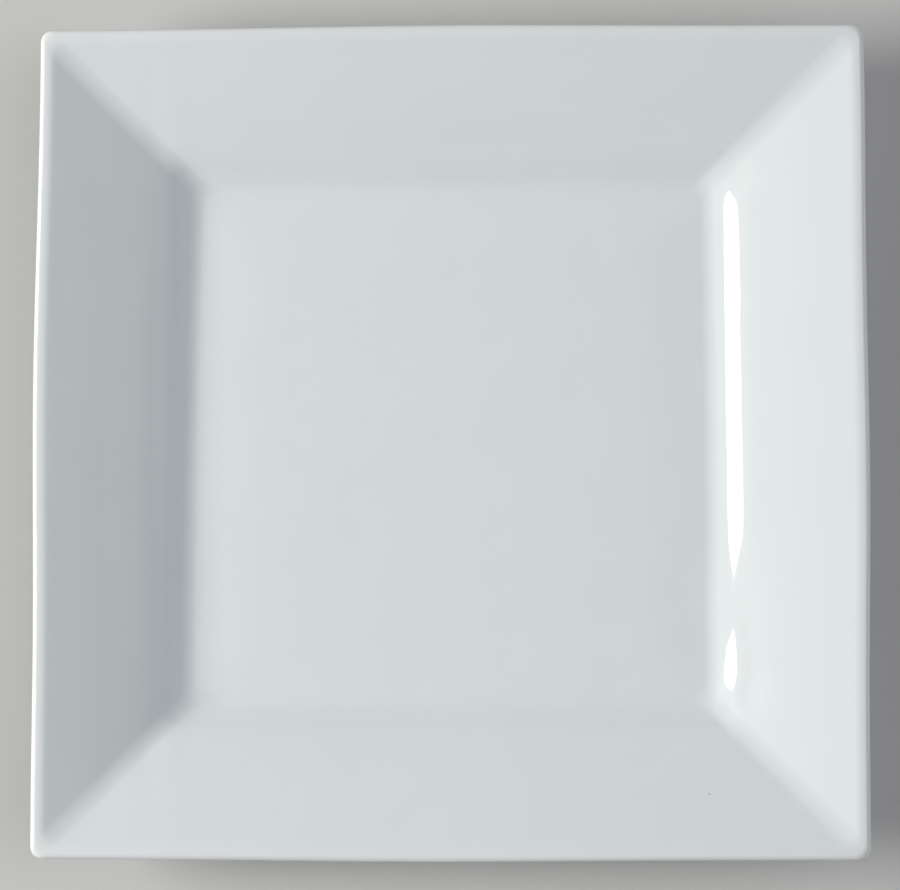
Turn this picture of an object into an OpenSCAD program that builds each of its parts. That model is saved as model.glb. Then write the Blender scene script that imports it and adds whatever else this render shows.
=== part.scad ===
// Square dinner plate of glazed porcelain, pressed and fired as one piece.
// The origin is the middle of the foot ring, on the table. +Z is up, and the sides run along X and Y.

/* [Plate] */
// Width across the middles of two opposite sides
plate_w = 267; // [220:1:320]
// Height from the table to the top of the lip
plate_h = 26; // [22:0.5:36]
// How far each side bows out between its corners
side_bow = 0.85; // [0:0.05:3]
// Radius of the outer corners, seen from above
corner_r = 3.8; // [2:0.2:12]

/* [Rim] */
// Height of the lip's outer face
lip_h = 3.8; // [3:0.1:6]
// Radius of the lip's upper edge
lip_r = 1.9; // [1:0.1:3.2]
// Radius of the lip's lower edge
lip_under_r = 1.3; // [0.5:0.1:2]
// Width of the lip, from the crest of the rim to the outer face
lip_w = 3.7; // [3:0.1:8]
// Radius of the crest, where the rim's slope turns level
crest_r = 7.5; // [2:0.5:20]
// Radius of the crest's corners, seen from above
crest_corner_r = 5; // [2:0.5:20]
// How far the middle of the rim stands proud of the straight from the shoulder to the crest
rim_crown = 0.5; // [0:0.1:2]
// Radius of the rim's crowned middle
rim_r = 300; // [60:10:500]
// Thickness of the wall in the middle of the rim
rim_t = 4.8; // [4:0.1:6]
// Width of the steep shoulder between the well's flank and the rim
shoulder_w = 5.2; // [3:0.2:14]
// Slope of the shoulder, in degrees
shoulder_slope = 34; // [22:1:38]
// Thickness of the wall where the shoulder bends into the rim
shoulder_t = 5.2; // [4.2:0.1:7]
// Radius of that bend
shoulder_r = 42; // [10:1:90]

/* [Well] */
// Width of the well, across the foot of its flanks
well_w = 169; // [140:1:184]
// Thickness of the floor in its middle
floor_t = 4.8; // [3.5:0.1:7]
// How far the floor falls towards the flanks
floor_fall = 0.7; // [0:0.1:1.5]
// Width of the band in which it falls
fall_w = 20; // [8:1:40]
// Radius of the bend from the flat floor into that band
fall_r = 260; // [40:10:400]
// Radius of the cove from the floor up to the flank
cove_r = 11; // [4:0.5:24]
// Width of the flank that rises from the cove
flank_w = 5.2; // [2:0.1:8]
// Slope of the flank, in degrees
flank_slope = 26; // [12:1:34]
// Radius of the bend from the flank up to the shoulder
flank_r = 25; // [4:1:60]
// Radius of the well's corners, seen from above
well_corner_r = 5; // [3:0.5:20]

/* [Foot] */
// Width of the foot ring, outside
foot_w = 168; // [150:1:180]
// Width of the foot ring at the table
foot_t = 4; // [3:0.1:6]
// Height of the foot ring, which is the depth of the recess inside it
foot_h = 2.5; // [1.5:0.1:4]
// Draft of the foot ring's faces, in degrees
foot_draft = 20; // [5:1:35]
// Radius of the foot ring's edges
foot_edge_r = 0.8; // [0.3:0.1:1.2]
// Radius of the coves along the foot ring's roots
foot_root_r = 3; // [1:0.1:4]
// Radius of the foot ring's corners, seen from above
foot_corner_r = 12; // [8:1:30]

/* [Hidden] */

// How far the middle of a facet may lie off its arc in the section
facet_sag = 0.015;
// Facets round each corner and along each side, seen from above
corner_facets = 10;
side_facets = 6;
// How far the recess is cut past the table's plane
overrun = 1;

plate_half = plate_w / 2;
well_half = well_w / 2;
foot_half = foot_w / 2;
floor_z = foot_h + floor_t;
foot_flare = foot_h * tan(foot_draft);

// Upper corners of the section, before they are rounded, as [distance from the middle, height]
floor_edge = [well_half - fall_w, floor_z];
well_edge = [well_half, floor_z - floor_fall];
flank_top = well_edge + flank_w * [1, tan(flank_slope)];
shoulder_top = flank_top + shoulder_w * [1, tan(shoulder_slope)];
crest = [plate_half - lip_w, plate_h];
lip_top = [plate_half, plate_h];
lip_bottom = [plate_half, plate_h - lip_h];

rise = crest - shoulder_top;
rim_slope = atan2(rise.y, rise.x);
rim_middle = (shoulder_top + crest) / 2 + rim_crown * [-sin(rim_slope), cos(rim_slope)];

// The underside follows the rim and the shoulder and runs down to the foot ring
under_rim = rim_middle + rim_t * [sin(rim_slope), -cos(rim_slope)];
wall_slope = (rim_slope + shoulder_slope) / 2;
under_shoulder = shoulder_top + shoulder_t * [sin(wall_slope), -cos(wall_slope)];
foot_outer = [foot_half, 0];
foot_inner = [foot_half - foot_t, 0];
foot_outer_root = foot_outer + [foot_flare, foot_h];
foot_inner_root = foot_inner + [-foot_flare, foot_h];

// Radius of the plan's corners against the distance from the middle, over the rim and under it
upper_plan_r = [
    [well_half, well_corner_r],
    [crest.x, crest_corner_r],
    [plate_half, corner_r]
];
under_plan_r = [
    [foot_half - foot_t, foot_corner_r - foot_t],
    [foot_half, foot_corner_r],
    [plate_half, corner_r]
];

// Each section is a list of corners: the point, the radius of its bend, and the plan that it follows
body_section = [
    [[0, floor_z], 0, upper_plan_r],
    [floor_edge, fall_r, upper_plan_r],
    [well_edge, cove_r, upper_plan_r],
    [flank_top, flank_r, upper_plan_r],
    [shoulder_top, shoulder_r, upper_plan_r],
    [rim_middle, rim_r, upper_plan_r],
    [crest, crest_r, upper_plan_r],
    [lip_top, lip_r, upper_plan_r],
    [lip_bottom, lip_under_r, under_plan_r],
    [under_rim, rim_r - rim_t, under_plan_r],
    [under_shoulder, shoulder_r - shoulder_t, under_plan_r],
    [foot_outer_root, foot_root_r, under_plan_r],
    [foot_outer, foot_edge_r, under_plan_r],
    [[0, 0], 0, under_plan_r]
];
recess_section = [
    [[0, foot_h], 0, under_plan_r],
    [foot_inner_root, foot_root_r, under_plan_r],
    [foot_inner, foot_edge_r, under_plan_r],
    [foot_outer, 0, under_plan_r]
];

// Heading of the straight that leaves corner i of section s, and the turn that the section makes there
function heading(s, i) = let (run = s[i + 1][0] - s[i][0]) atan2(run.y, run.x);
function turn(s, i) =
    let (t = heading(s, i) - heading(s, i - 1))
    t > 180 ? t - 360 : t < -180 ? t + 360 : t;

// Length of each straight that the bend at corner i asks for
function reach(s, i) = i == 0 || i == len(s) - 1 ? 0 : s[i][1] * tan(abs(turn(s, i)) / 2);

// Share of it that the straight leaving corner i has room for
function room(s, i) = min(1, norm(s[i + 1][0] - s[i][0]) / (reach(s, i) + reach(s, i + 1)));

// Points of the bend that rounds corner i
function bend(s, i) =
    let (
        fit = min(room(s, i - 1), room(s, i)),
        r = s[i][1] * fit,
        along = heading(s, i - 1),
        side = sign(turn(s, i)),
        start = s[i][0] - reach(s, i) * fit * [cos(along), sin(along)],
        centre = start + side * r * [-sin(along), cos(along)],
        steps = ceil(abs(turn(s, i)) / (2 * acos(1 - facet_sag / r)))
    )
    [for (k = [0 : steps])
        let (way = along + turn(s, i) * k / max(1, steps))
        centre + side * r * [sin(way), -cos(way)]];

// Rounded square through p, a point of the section, with its corners drawn in by the bow of the sides
function ring(p, plan_r) =
    let (
        r = lookup(p.x, plan_r),
        arm = sqrt(2) * (p.x - r),
        square = [for (quarter = [0 : 3])
            let (
                here = arm * [cos(90 * quarter + 45), sin(90 * quarter + 45)],
                next = arm * [cos(90 * quarter + 135), sin(90 * quarter + 135)],
                out = r * [cos(90 * quarter + 90), sin(90 * quarter + 90)]
            )
            each concat(
                [for (k = [0 : corner_facets])
                    let (a = 90 * (quarter + k / corner_facets))
                    here + r * [cos(a), sin(a)]],
                [for (k = [1 : side_facets - 1]) here + out + (next - here) * k / side_facets]
            )]
    )
    [for (q = square)
        let (pull = 1 - side_bow / plate_half * pow(q.x * q.y / pow(p.x, 2), 2))
        [q.x * pull, q.y * pull, p.y]];

// Rings through all the bends of a section
function rings(s) = [for (i = [1 : len(s) - 2], p = bend(s, i)) ring(p, s[i][2])];

// Solid through a stack of rings, closed by the first and last of them
module loft(stack) {
    count = len(stack[0]);
    end = len(stack) - 1;
    polyhedron(
        points = [for (r = stack) each r],
        faces = concat(
            [[for (j = [count - 1 : -1 : 0]) j]],
            [for (i = [0 : end - 1], j = [0 : count - 1])
                let (k = (j + 1) % count)
                each [
                    [i * count + j, i * count + k, (i + 1) * count + k],
                    [i * count + j, (i + 1) * count + k, (i + 1) * count + j]
                ]],
            [[for (j = [0 : count - 1]) end * count + j]]
        )
    );
}

// Space inside the foot ring, with the rounded edge of its mouth
module recess() {
    stack = rings(recess_section);
    mouth = [for (p = stack[len(stack) - 1]) p - [0, 0, overrun]];
    loft(concat(stack, [mouth]));
}

// Well, shoulder, rim, lip and foot ring are one pressed body
module plate() {
    color([0.86, 0.88, 0.88])
        difference() {
            loft(rings(body_section));
            recess();
        }
}

plate();
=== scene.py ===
# Square dinner plate of glazed porcelain, seen from above in the soft light of a window.
import math

import bpy
import numpy as np
from mathutils import Matrix, Vector


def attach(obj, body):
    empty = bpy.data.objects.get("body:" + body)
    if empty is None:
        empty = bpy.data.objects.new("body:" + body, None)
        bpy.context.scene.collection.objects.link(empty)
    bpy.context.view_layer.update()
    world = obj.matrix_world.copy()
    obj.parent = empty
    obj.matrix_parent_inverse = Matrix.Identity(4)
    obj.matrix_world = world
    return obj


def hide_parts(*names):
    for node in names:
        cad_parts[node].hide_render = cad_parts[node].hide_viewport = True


MM = 0.001

# Section of the plate, with the sizes of the solid that the mesh stands for
PLATE_HALF = 133.5 * MM
PLATE_H = 26 * MM
SIDE_BOW = 0.85 * MM
CORNER_R = 3.8 * MM
LIP_H = 3.8 * MM
LIP_R = 1.9 * MM
LIP_UNDER_R = 1.3 * MM
LIP_W = 3.7 * MM
CREST_R = 7.5 * MM
CREST_CORNER_R = 5 * MM
RIM_CROWN = 0.5 * MM
RIM_R = 300 * MM
RIM_T = 4.8 * MM
SHOULDER_W = 5.2 * MM
SHOULDER_SLOPE = math.radians(34)
SHOULDER_T = 5.2 * MM
SHOULDER_R = 42 * MM
WELL_HALF = 84.5 * MM
FLOOR_T = 4.8 * MM
FLOOR_FALL = 0.7 * MM
FALL_W = 20 * MM
FALL_R = 260 * MM
COVE_R = 11 * MM
FLANK_W = 5.2 * MM
FLANK_SLOPE = math.radians(26)
FLANK_R = 25 * MM
WELL_CORNER_R = 5 * MM
FOOT_HALF = 84 * MM
FOOT_T = 4 * MM
FOOT_H = 2.5 * MM
FOOT_DRAFT = math.radians(20)
FOOT_EDGE_R = 0.8 * MM
FOOT_ROOT_R = 3 * MM
FOOT_CORNER_R = 12 * MM

# How each side of the rim strays outwards from its true line: the side, a shift, a lean along it, and a wave
# with its swell, how many times it fits along the side, and its crest's place as a share of the half width
SIDE_STRAYS = [
    ((-1, 0), -0.16 * MM, -0.2 * MM, 0.33 * MM, 1.7, 0.15),
    ((1, 0), -0.13 * MM, 0.1 * MM, 0.24 * MM, 2.0, -0.1),
    ((0, 1), 0.15 * MM, -0.1 * MM, 0.16 * MM, 1.7, 0),
    ((0, -1), 0.15 * MM, -0.2 * MM, 0.14 * MM, 1.9, -0.05),
]
SIDE_POWER = 4

# The same shift and lean for the left and right edges of the well, in a band of this reach
FLANK_STRAYS = [((-1, 0), 0.5 * MM, -1.9 * MM), ((1, 0), -0.15 * MM, -0.5 * MM)]
FLANK_REACH = 18 * MM

# Places where a shoulder or a rim lies flatter: its side, the middle and the reach, each outwards
# and along the side, and the slope lost
DENTS = [
    ((1, 0), (91.5 * MM, -53 * MM), (6 * MM, 16 * MM), 0.15),
    ((1, 0), (94.3 * MM, -76 * MM), (4.5 * MM, 14 * MM), 0.16),
    ((1, 0), (91.2 * MM, 85.5 * MM), (5 * MM, 5 * MM), 0.18),
    ((1, 0), (91.2 * MM, -82 * MM), (5 * MM, 5 * MM), 0.17),
    ((-1, 0), (93.3 * MM, 0), (4.5 * MM, 90 * MM), 0.14),
    ((-1, 0), (103 * MM, 0), (12 * MM, 110 * MM), 0.035),
    ((0, 1), (92.5 * MM, 0), (6.5 * MM, 75 * MM), 0.16),
    ((0, -1), (92.5 * MM, 0), (6.5 * MM, 75 * MM), 0.1),
]

# Faint ripples of the surface: their seed, number, height and lengths, and the height
# below which they fade out
RIPPLE_SEED = 7
RIPPLE_COUNT = 14
RIPPLE_HEIGHT = 0.017 * MM
RIPPLE_LENGTHS = (9 * MM, 20 * MM)
STANDING_Z = 1 * MM

# Glaze: its colour, where it gathers in the coves and where it thins over the edges, its mottling,
# its gloss and the fine peel of its surface, whose height is in millimetres
GLAZE = (0.727, 0.765, 0.775, 1)
GLAZE_DEEP = (0.69, 0.75, 0.773, 1)
GLAZE_THIN = (0.752, 0.771, 0.775, 1)
POOL_REACH = 1.5 * MM
POOL_GAIN = 2
MOTTLE = [(26 * MM, 0.03), (1.2 * MM, 0.012)]
GLOSS = 0.06
GLOSS_STRAY = 0.03
GLOSS_LENGTH = 30 * MM
PEEL_HEIGHT = 0.005
PEEL_LENGTH = 2 * MM
GLAZE_IOR = 1.5

# Iron specks under the glaze: the place and the radius of each, the shares of the radius where the colour
# begins and where it is full, the colour, and how ragged the edges are
SPECKS = [(82.4 * MM, -112.5 * MM, 0.4 * MM), (84.1 * MM, -85.7 * MM, 0.22 * MM)]
SPECK_EDGE = (1.2, 0.5)
SPECK_COLOR = (0.5, 0.52, 0.52, 1)
SPECK_RAGGED = 0.5
SPECK_LENGTH = 0.3 * MM

# Bare body along the standing edge of the foot: its colour, how high it reaches, the softness and the wave
# of that line, and its fine grain, whose height is in millimetres
BODY = (0.72, 0.685, 0.63)
BARE_Z = 0.75 * MM
BARE_SOFT = 0.1 * MM
BARE_WAVE = 0.5 * MM
BARE_LENGTH = 7 * MM
BODY_ROUGHNESS = 0.85
BODY_GRAIN = 0.05
BODY_LENGTH = 0.3 * MM
BODY_STAIN = 0.12

# Fineness of the mesh: how far a facet may lie off its arc, the fewest facets in a bend, the widest gap
# between rings, the facets round a corner and along a side, and how far a flat grid reaches in its ring
FACET_SAG = 0.002 * MM
BEND_FACETS = 2
RING_STEP = 1.6 * MM
CORNER_FACETS = 16
SIDE_FACETS = 72
GRID_SHARE = 0.97

# Camera: what it looks at, how far off, its tilt off the vertical and the heading of that tilt,
# and its lens and sensor in millimetres
CAMERA_AIM = Vector((0.3, -1.75, 23.2)) * MM
CAMERA_DISTANCE = 907.5 * MM
CAMERA_TILT = math.radians(4.58)
CAMERA_TURN = math.radians(28.3)
CAMERA_LENS = 113.7
CAMERA_SENSOR = 36

# Window on the left: its middle, its width and height, its radiance and its colour
WINDOW_PLACE = Vector((-2.405, 0, 1.228))
WINDOW_SIZE = (1.47, 0.83)
WINDOW_RADIANCE = 22.5
WINDOW_COLOR = (1, 1, 0.96)

# Soft light of the room: the direction, the sharpness and the strength of each lobe
ROOM_LIGHT = [((0, 0, 1), 25, 0.35), ((0, 1, 1), 6, 0.13), ((1, 0, 1), 6, 1.66),
              ((-0.5, 1, 0.15), 25, 1.3), ((-0.5, -1, 0.15), 25, 0.8), ((0, 0, -1), 1, 0.7)]
ROOM_COLOR = (0.985, 1, 1.05, 1)
BACKDROP = (0.48, 0.49, 0.51, 1)

# Floor, with the gap that keeps it clear of the standing edge
FLOOR = (0.56, 0.555, 0.545, 1)
FLOOR_ROUGHNESS = 0.7
FLOOR_SIZE = 8.0
FLOOR_GAP = 0.05 * MM

# Numbers of a mix node's sockets for the share, the two colours and the mixed colour
MIX_SHARE, MIX_FIRST, MIX_SECOND, MIX_RESULT = 0, 6, 7, 2

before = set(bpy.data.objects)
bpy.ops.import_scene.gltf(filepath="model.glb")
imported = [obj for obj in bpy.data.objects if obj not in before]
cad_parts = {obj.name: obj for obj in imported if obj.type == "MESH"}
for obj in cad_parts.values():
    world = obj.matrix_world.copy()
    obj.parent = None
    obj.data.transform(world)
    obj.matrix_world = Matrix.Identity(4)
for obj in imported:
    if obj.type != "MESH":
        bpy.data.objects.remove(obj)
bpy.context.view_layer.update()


def unit(angle):
    """Unit vector at an angle."""
    return np.array([math.cos(angle), math.sin(angle)])


def section_corners():
    """Corners of the whole section from the floor's middle, over the lip, to the middle of the recess:
    each has its point, the radius of its bend, and the radii of the plan that it follows."""
    floor_z = FOOT_H + FLOOR_T
    well_edge = np.array([WELL_HALF, floor_z - FLOOR_FALL])
    flank_top = well_edge + FLANK_W * np.array([1, math.tan(FLANK_SLOPE)])
    shoulder_top = flank_top + SHOULDER_W * np.array([1, math.tan(SHOULDER_SLOPE)])
    crest = np.array([PLATE_HALF - LIP_W, PLATE_H])
    rise = crest - shoulder_top
    rim_slope = math.atan2(rise[1], rise[0])
    across = np.array([-math.sin(rim_slope), math.cos(rim_slope)])
    rim_middle = (shoulder_top + crest) / 2 + RIM_CROWN * across
    wall_slope = (rim_slope + SHOULDER_SLOPE) / 2
    under_shoulder = shoulder_top + SHOULDER_T * np.array([math.sin(wall_slope), -math.cos(wall_slope)])
    flare = FOOT_H * math.tan(FOOT_DRAFT)
    foot_inner = FOOT_HALF - FOOT_T
    upper = [(WELL_HALF, WELL_CORNER_R), (crest[0], CREST_CORNER_R), (PLATE_HALF, CORNER_R)]
    under = [(foot_inner, FOOT_CORNER_R - FOOT_T), (FOOT_HALF, FOOT_CORNER_R), (PLATE_HALF, CORNER_R)]
    return [
        ((0, floor_z), 0, upper),
        ((WELL_HALF - FALL_W, floor_z), FALL_R, upper),
        (well_edge, COVE_R, upper),
        (flank_top, FLANK_R, upper),
        (shoulder_top, SHOULDER_R, upper),
        (rim_middle, RIM_R, upper),
        (crest, CREST_R, upper),
        ((PLATE_HALF, PLATE_H), LIP_R, upper),
        ((PLATE_HALF, PLATE_H - LIP_H), LIP_UNDER_R, under),
        (rim_middle - RIM_T * across, RIM_R - RIM_T, under),
        (under_shoulder, SHOULDER_R - SHOULDER_T, under),
        ((FOOT_HALF + flare, FOOT_H), FOOT_ROOT_R, under),
        ((FOOT_HALF, 0), FOOT_EDGE_R, under),
        ((foot_inner, 0), FOOT_EDGE_R, under),
        ((foot_inner - flare, FOOT_H), FOOT_ROOT_R, under),
        ((0, FOOT_H), 0, under),
    ]


def section_path():
    """Points of the rounded section, each with the plan radius of its ring."""
    corners = section_corners()
    points = [np.array(c[0], float) for c in corners]
    headings = [math.atan2(*(b - a)[::-1]) for a, b in zip(points, points[1:])]
    turns = [0.0]
    for before, after in zip(headings, headings[1:]):
        turns.append((after - before + math.pi) % (2 * math.pi) - math.pi)
    turns.append(0.0)
    reach = [c[1] * math.tan(abs(t) / 2) for c, t in zip(corners, turns)]
    room = [min(1, np.linalg.norm(b - a) / (ra + rb))
            for a, b, ra, rb in zip(points, points[1:], reach, reach[1:])]
    path = []
    for i in range(1, len(corners) - 1):
        fit = min(room[i - 1], room[i])
        radius, turn, along = corners[i][1] * fit, turns[i], headings[i - 1]
        side = math.copysign(1, turn)
        start = points[i] - reach[i] * fit * unit(along)
        centre = start + side * radius * unit(along + math.pi / 2)
        steps = max(BEND_FACETS, math.ceil(abs(turn) / (2 * math.acos(1 - FACET_SAG / radius))),
                    math.ceil(abs(turn) * radius / RING_STEP))
        arc = [centre + side * radius * unit(along + turn * k / steps - math.pi / 2)
               for k in range(steps + 1)]
        plan = corners[i][2]
        if path:
            before = path[-1][0]
            straight = np.linalg.norm(arc[0] - before)
            pieces = math.ceil(straight / RING_STEP)
            path += [(before + (arc[0] - before) * k / pieces, plan) for k in range(1, pieces)]
            if straight < FACET_SAG:
                # Two bends that meet share one ring
                arc = arc[1:]
        path += [(p, plan) for p in arc]
    return [(p[0], p[1], float(np.interp(p[0], *zip(*plan)))) for p, plan in path]


def pooling(path):
    """How much glaze gathers at each ring: up to 1 in a tight cove and down to -1 over a tight edge."""
    points = np.array(path)[:, :2].T
    run = np.append(0, np.cumsum(np.hypot(*np.diff(points))))
    back, ahead = [[np.interp(run + step, run, axis) for axis in points]
                   for step in (-POOL_REACH, POOL_REACH)]
    before, after = points - back, ahead - points
    turn = (before[0] * after[1] - before[1] * after[0]) / POOL_REACH ** 2
    return np.clip(POOL_GAIN * turn, -1, 1)


def side_shares():
    """Places along one side of a ring, from the middle of one corner to the middle of the next:
    (angle round the corner's arc, share of the straight)."""
    half = CORNER_FACETS // 2
    quarter = math.pi / 4
    first = [(-quarter + quarter * k / half, 0) for k in range(half)]
    middle = [(0, k / SIDE_FACETS) for k in range(SIDE_FACETS + 1)]
    last = [(quarter * k / half, 1) for k in range(1, half)]
    return first + middle + last


def bowed(points, out):
    """Draws the corners of a square of half width out in, so that its sides bow out."""
    x, y = points[:, 0], points[:, 1]
    pull = 1 - SIDE_BOW / PLATE_HALF * (x * y / out ** 2) ** 2
    return np.column_stack([x * pull, y * pull, points[:, 2]])


def ring(out, height, radius):
    """Points of a rounded square ring, anticlockwise from the corner between +X and -Y."""
    arm = out - radius
    side = np.array([(arm + radius * math.cos(a), -arm + 2 * arm * s + radius * math.sin(a))
                     for a, s in side_shares()])
    x, y = side.T
    turned = [(x, y), (-y, x), (-x, -y), (y, -x)]
    flat = np.concatenate([np.stack(pair, 1) for pair in turned])
    return bowed(np.column_stack([flat, np.full(len(flat), height)]), out)


def patch(edge):
    """Square grid that fills a flat ring, its faces, and the numbers of the points along its border,
    in the order of the ring."""
    count = len(edge) // 4
    along = np.append(edge[:count, 1], edge[count, 1]) * GRID_SHARE
    x, y = np.meshgrid(along, along, indexing="ij")
    out = edge[:, 0].max()
    grid = bowed(np.column_stack([x.ravel(), y.ravel(), np.full(x.size, edge[0, 2])]), out)
    index = np.arange((count + 1) ** 2).reshape(count + 1, count + 1)
    faces = np.stack([index[:-1, :-1], index[1:, :-1], index[1:, 1:], index[:-1, 1:]], -1).reshape(-1, 4)
    border = np.concatenate([index[-1, :-1], index[:0:-1, -1], index[0, :0:-1], index[:-1, 0]])
    return grid, faces, border


def strip(inner, outer):
    """Faces between two closed loops of point numbers, seen from the side where the first lies inside."""
    return np.stack([inner, outer, np.roll(outer, -1), np.roll(inner, -1)], 1)


def plate_mesh():
    """Points and faces of the whole plate, and how much glaze gathers at each point."""
    path = section_path()
    stack = np.array([ring(*place) for place in path])
    rings, count = stack.shape[:2]
    index = np.arange(rings * count).reshape(rings, count)
    faces = [strip(index[k], index[k + 1]) for k in range(rings - 1)]
    points = [stack.reshape(-1, 3)]
    pools = [np.repeat(pooling(path), count)]
    for edge in (0, rings - 1):
        grid, grid_faces, border = patch(stack[edge])
        first = sum(len(p) for p in points)
        grid_faces += first
        border += first
        if edge:
            faces += [grid_faces[:, ::-1], strip(index[edge], border)]
        else:
            faces += [grid_faces, strip(border, index[edge])]
        points.append(grid)
        pools.append(np.zeros(len(grid)))
    return np.concatenate(points), np.concatenate(faces), np.concatenate(pools)


def raised(points):
    """Share of a stray that each point takes: none on the foot ring, and all of it on the upper side."""
    share = np.clip((points[:, 2] - FOOT_H) / (FLOOR_T - FLOOR_FALL), 0, 1)
    return share ** 2 * (3 - 2 * share)


def strayed(points):
    """Bends the sides of the rim and the edges of the well out of true, as the kiln left them."""
    moved = points.copy()
    for way, shift, lean, swell, waves, crest in SIDE_STRAYS:
        out = np.clip(points[:, :2] @ way, 0, None) / PLATE_HALF
        along = (points[:, :2] @ np.abs(way[::-1])) / PLATE_HALF
        stray = shift + lean * along + swell * np.cos(math.pi * waves * (along - crest))
        moved[:, :2] += np.outer(out ** SIDE_POWER * stray, way)
    for way, shift, lean in FLANK_STRAYS:
        out = points[:, :2] @ way
        along = (points[:, :2] @ np.abs(way[::-1])) / PLATE_HALF
        share = np.exp(-((out - WELL_HALF) / FLANK_REACH) ** 2) * raised(points)
        moved[:, :2] += np.outer(share * (shift + lean * along), way)
    return moved


def dented(points):
    """Flattens the shoulders and the left rim where they sagged."""
    moved = points.copy()
    for way, middle, reach, loss in DENTS:
        off = np.column_stack([points[:, :2] @ way, points[:, :2] @ np.abs(way[::-1])]) - middle
        share = np.exp(-((off / reach) ** 2).sum(1)) * raised(points)
        moved[:, 2] -= loss * off[:, 0] * share
    return moved


def rippled(points):
    """Raises and lowers the surface by a few hundredths of a millimetre, but not where the foot stands."""
    random = np.random.default_rng(RIPPLE_SEED)
    height = np.zeros(len(points))
    for _ in range(RIPPLE_COUNT):
        way = random.normal(size=3)
        way *= 2 * math.pi / (random.uniform(*RIPPLE_LENGTHS) * np.linalg.norm(way))
        height += np.sin(points @ way + random.uniform(0, 2 * math.pi))
    share = np.clip(points[:, 2] / STANDING_Z, 0, 1)
    moved = points.copy()
    moved[:, 2] += RIPPLE_HEIGHT * height / math.sqrt(RIPPLE_COUNT) * share
    return moved


def build_plate(material):
    """Whole plate as one mesh, which stands for the solid."""
    points, faces, pools = plate_mesh()
    points = rippled(dented(strayed(points)))
    mesh = bpy.data.meshes.new("plate_glazed")
    mesh.from_pydata(points.tolist(), [], faces.tolist())
    mesh.polygons.foreach_set("use_smooth", [True] * len(mesh.polygons))
    mesh.attributes.new("pool", "FLOAT", "POINT").data.foreach_set("value", pools)
    mesh.materials.append(material)
    plate = bpy.data.objects.new("plate_glazed", mesh)
    bpy.context.scene.collection.objects.link(plate)
    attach(plate, "root")
    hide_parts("plate")


def plug(tree, socket, value):
    """Sets a socket to a number or a colour, or links another node's output to it."""
    if isinstance(value, bpy.types.NodeSocket):
        tree.links.new(value, socket)
    else:
        socket.default_value = value


def math_node(tree, operation, *values):
    """Adds a math node; each value is a number or another node's output."""
    node = tree.nodes.new("ShaderNodeMath")
    node.operation = operation
    for socket, value in zip(node.inputs, values):
        plug(tree, socket, value)
    return node.outputs[0]


def color_mix(tree, share, first, second):
    """Adds a mix of two colours, with the given share of the second."""
    node = tree.nodes.new("ShaderNodeMix")
    node.data_type = "RGBA"
    for index, value in ((MIX_SHARE, share), (MIX_FIRST, first), (MIX_SECOND, second)):
        plug(tree, node.inputs[index], value)
    return node.outputs[MIX_RESULT]


def color_scale(tree, color, scale):
    """Adds a colour made darker or lighter by a factor."""
    node = tree.nodes.new("ShaderNodeVectorMath")
    node.operation = "SCALE"
    plug(tree, node.inputs[0], color)
    plug(tree, node.inputs["Scale"], scale)
    return node.outputs[0]


def ramp(tree, value, start, end):
    """Adds a smooth share that rises from 0 at start to 1 at end."""
    node = tree.nodes.new("ShaderNodeMapRange")
    node.interpolation_type = "SMOOTHSTEP"
    for name, number in (("Value", value), ("From Min", start), ("From Max", end)):
        plug(tree, node.inputs[name], number)
    return node.outputs[0]


def noise(tree, place, length, height):
    """Adds noise of the given length, up to about half the given height above and below 0."""
    node = tree.nodes.new("ShaderNodeTexNoise")
    tree.links.new(place, node.inputs["Vector"])
    node.inputs["Scale"].default_value = 1 / length
    centred = math_node(tree, "SUBTRACT", node.outputs["Fac"], 0.5)
    return math_node(tree, "MULTIPLY", centred, height)


def axis_z(tree, name):
    """Adds one of the object's own coordinates; returns it and its part along Z."""
    whole = tree.nodes.new("ShaderNodeTexCoord").outputs[name]
    split = tree.nodes.new("ShaderNodeSeparateXYZ")
    tree.links.new(whole, split.inputs[0])
    return whole, split.outputs["Z"]


def specks(tree, place, facing):
    """Share of speck at each place: small ragged spots on the upper side."""
    ragged = math_node(tree, "ADD", noise(tree, place, SPECK_LENGTH, SPECK_RAGGED), 1.0)
    share = 0.0
    for x, y, radius in SPECKS:
        off = tree.nodes.new("ShaderNodeVectorMath")
        off.operation = "DISTANCE"
        flat = tree.nodes.new("ShaderNodeVectorMath")
        flat.operation = "MULTIPLY"
        plug(tree, flat.inputs[0], place)
        flat.inputs[1].default_value = (1, 1, 0)
        tree.links.new(flat.outputs[0], off.inputs[0])
        off.inputs[1].default_value = (x, y, 0)
        far = math_node(tree, "MULTIPLY", off.outputs["Value"], ragged)
        begin, full = (edge * radius for edge in SPECK_EDGE)
        share = math_node(tree, "MAXIMUM", share, ramp(tree, far, begin, full))
    return math_node(tree, "MULTIPLY", share, math_node(tree, "GREATER_THAN", facing, 0.0))


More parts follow.
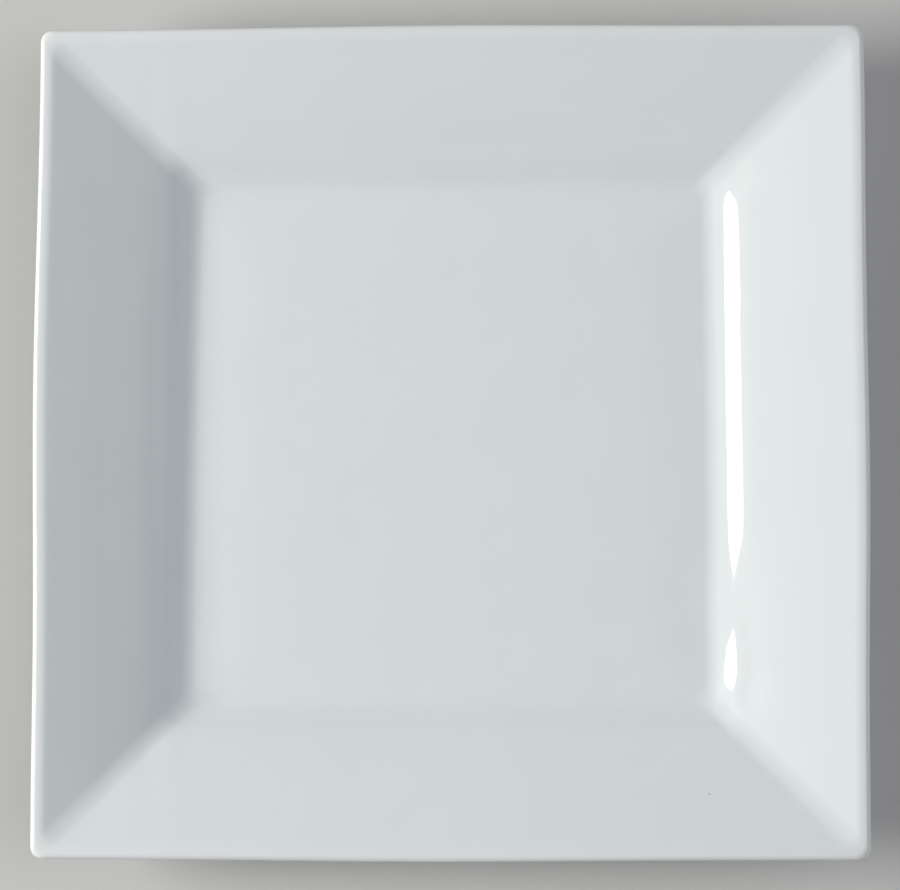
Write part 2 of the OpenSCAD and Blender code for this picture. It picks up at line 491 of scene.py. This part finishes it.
def glaze():
    """Glazed porcelain, with iron specks and a bare foot."""
    material = bpy.data.materials.new("glazed_porcelain")
    material.use_nodes = True
    tree = material.node_tree
    shader = tree.nodes["Principled BSDF"]
    place, height = axis_z(tree, "Object")
    facing = axis_z(tree, "Normal")[1]
    pool = tree.nodes.new("ShaderNodeAttribute")
    pool.attribute_name = "pool"
    deep = math_node(tree, "MAXIMUM", pool.outputs["Fac"], 0.0)
    thin = math_node(tree, "MAXIMUM", math_node(tree, "MULTIPLY", pool.outputs["Fac"], -1.0), 0.0)
    color = color_mix(tree, thin, color_mix(tree, deep, GLAZE, GLAZE_DEEP), GLAZE_THIN)
    mottle = 1.0
    for length, amount in MOTTLE:
        mottle = math_node(tree, "ADD", noise(tree, place, length, amount), mottle)
    color = color_mix(tree, specks(tree, place, facing), color_scale(tree, color, mottle), SPECK_COLOR)

    grain = noise(tree, place, BODY_LENGTH, 1)
    edge = math_node(tree, "ADD", noise(tree, place, BARE_LENGTH, BARE_WAVE), height)
    bare = ramp(tree, edge, BARE_Z + BARE_SOFT, BARE_Z)
    stain = math_node(tree, "ADD", math_node(tree, "MULTIPLY", grain, BODY_STAIN), 1.0)
    body = color_scale(tree, BODY, stain)
    plug(tree, shader.inputs["Base Color"], color_mix(tree, bare, color, body))
    gloss = math_node(tree, "ADD", noise(tree, place, GLOSS_LENGTH, GLOSS_STRAY), GLOSS)
    rough = math_node(tree, "MULTIPLY", bare, BODY_ROUGHNESS)
    plug(tree, shader.inputs["Roughness"], math_node(tree, "MAXIMUM", gloss, rough))
    shader.inputs["IOR"].default_value = GLAZE_IOR

    bump = tree.nodes.new("ShaderNodeBump")
    bump.inputs["Distance"].default_value = MM
    peel = noise(tree, place, PEEL_LENGTH, PEEL_HEIGHT)
    rise = math_node(tree, "MULTIPLY", math_node(tree, "MULTIPLY", grain, BODY_GRAIN), bare)
    plug(tree, bump.inputs["Height"], math_node(tree, "ADD", peel, rise))
    plug(tree, shader.inputs["Normal"], bump.outputs["Normal"])
    return material


def build_floor():
    """Pale floor that takes the plate's shadow. It can be seen through from below, and it is open
    inside the line that the foot stands on, so that light reaches the recess."""
    standing_line = ring(FOOT_HALF - FOOT_EDGE_R, -FLOOR_GAP, FOOT_CORNER_R - FOOT_EDGE_R)
    border = ring(FLOOR_SIZE / 2, -FLOOR_GAP, CORNER_R)
    index = np.arange(2 * len(border)).reshape(2, -1)
    mesh = bpy.data.meshes.new("floor")
    mesh.from_pydata(np.concatenate([standing_line, border]).tolist(), [], strip(*index).tolist())
    floor = bpy.data.objects.new("floor", mesh)
    bpy.context.scene.collection.objects.link(floor)
    material = bpy.data.materials.new("floor")
    material.use_nodes = True
    tree = material.node_tree
    shader = tree.nodes["Principled BSDF"]
    shader.inputs["Base Color"].default_value = FLOOR
    shader.inputs["Roughness"].default_value = FLOOR_ROUGHNESS
    mix = tree.nodes.new("ShaderNodeMixShader")
    plug(tree, mix.inputs["Fac"], tree.nodes.new("ShaderNodeNewGeometry").outputs["Backfacing"])
    plug(tree, mix.inputs[1], shader.outputs[0])
    plug(tree, mix.inputs[2], tree.nodes.new("ShaderNodeBsdfTransparent").outputs[0])
    plug(tree, tree.nodes["Material Output"].inputs["Surface"], mix.outputs[0])
    floor.data.materials.append(material)


def build_camera():
    """Camera that looks down on the plate, with the plate's +Y up in the picture."""
    back = Vector((math.sin(CAMERA_TILT) * math.sin(CAMERA_TURN),
                   -math.sin(CAMERA_TILT) * math.cos(CAMERA_TURN), math.cos(CAMERA_TILT)))
    right = Vector((0, 1, 0)).cross(back).normalized()
    up = back.cross(right)
    data = bpy.data.cameras.new("camera")
    data.sensor_width = CAMERA_SENSOR
    data.lens = CAMERA_LENS
    camera = bpy.data.objects.new("camera", data)
    turned = Matrix((right, up, back)).transposed().to_4x4()
    camera.matrix_world = Matrix.Translation(CAMERA_AIM + CAMERA_DISTANCE * back) @ turned
    bpy.context.scene.collection.objects.link(camera)
    bpy.context.scene.camera = camera


def build_window():
    """Window on the left as a flat light that faces the plate."""
    data = bpy.data.lights.new("window", "AREA")
    data.shape = "RECTANGLE"
    data.size, data.size_y = WINDOW_SIZE
    # The power of a flat light is pi times its radiance and its area
    data.energy = WINDOW_RADIANCE * math.pi * data.size * data.size_y
    data.color = WINDOW_COLOR
    lamp = bpy.data.objects.new("window", data)
    lamp.location = WINDOW_PLACE
    lamp.rotation_mode = "QUATERNION"
    lamp.rotation_quaternion = WINDOW_PLACE.to_track_quat("Z", "Y")
    bpy.context.scene.collection.objects.link(lamp)


def light_lobe(tree, way, direction, sharpness, strength):
    """Adds light that is strongest in one direction and falls off round it."""
    dot = tree.nodes.new("ShaderNodeVectorMath")
    dot.operation = "DOT_PRODUCT"
    tree.links.new(way, dot.inputs[0])
    dot.inputs[1].default_value = Vector(direction).normalized()
    facing = math_node(tree, "MAXIMUM", dot.outputs["Value"], 0.0)
    return math_node(tree, "MULTIPLY", math_node(tree, "POWER", facing, sharpness), strength)


def build_world():
    """Soft light from the room, behind a pale backdrop that the camera and the gloss see instead."""
    world = bpy.data.worlds.new("world")
    bpy.context.scene.world = world
    world.use_nodes = True
    tree = world.node_tree
    room = tree.nodes["Background"]
    way = tree.nodes.new("ShaderNodeTexCoord").outputs["Generated"]
    strength = 0.0
    for lobe in ROOM_LIGHT:
        strength = math_node(tree, "ADD", strength, light_lobe(tree, way, *lobe))
    tree.links.new(strength, room.inputs["Strength"])
    room.inputs["Color"].default_value = ROOM_COLOR
    backdrop = tree.nodes.new("ShaderNodeBackground")
    backdrop.inputs["Color"].default_value = BACKDROP
    rays = tree.nodes.new("ShaderNodeLightPath").outputs
    seen = math_node(tree, "MAXIMUM", rays["Is Camera Ray"], rays["Is Glossy Ray"])
    seen = math_node(tree, "MAXIMUM", seen, rays["Is Transmission Ray"])
    mix = tree.nodes.new("ShaderNodeMixShader")
    tree.links.new(seen, mix.inputs["Fac"])
    tree.links.new(room.outputs[0], mix.inputs[1])
    tree.links.new(backdrop.outputs[0], mix.inputs[2])
    tree.links.new(mix.outputs[0], tree.nodes["World Output"].inputs["Surface"])


bpy.context.scene.view_settings.view_transform = "Standard"
build_camera()
build_plate(glaze())
build_floor()
build_window()
build_world()
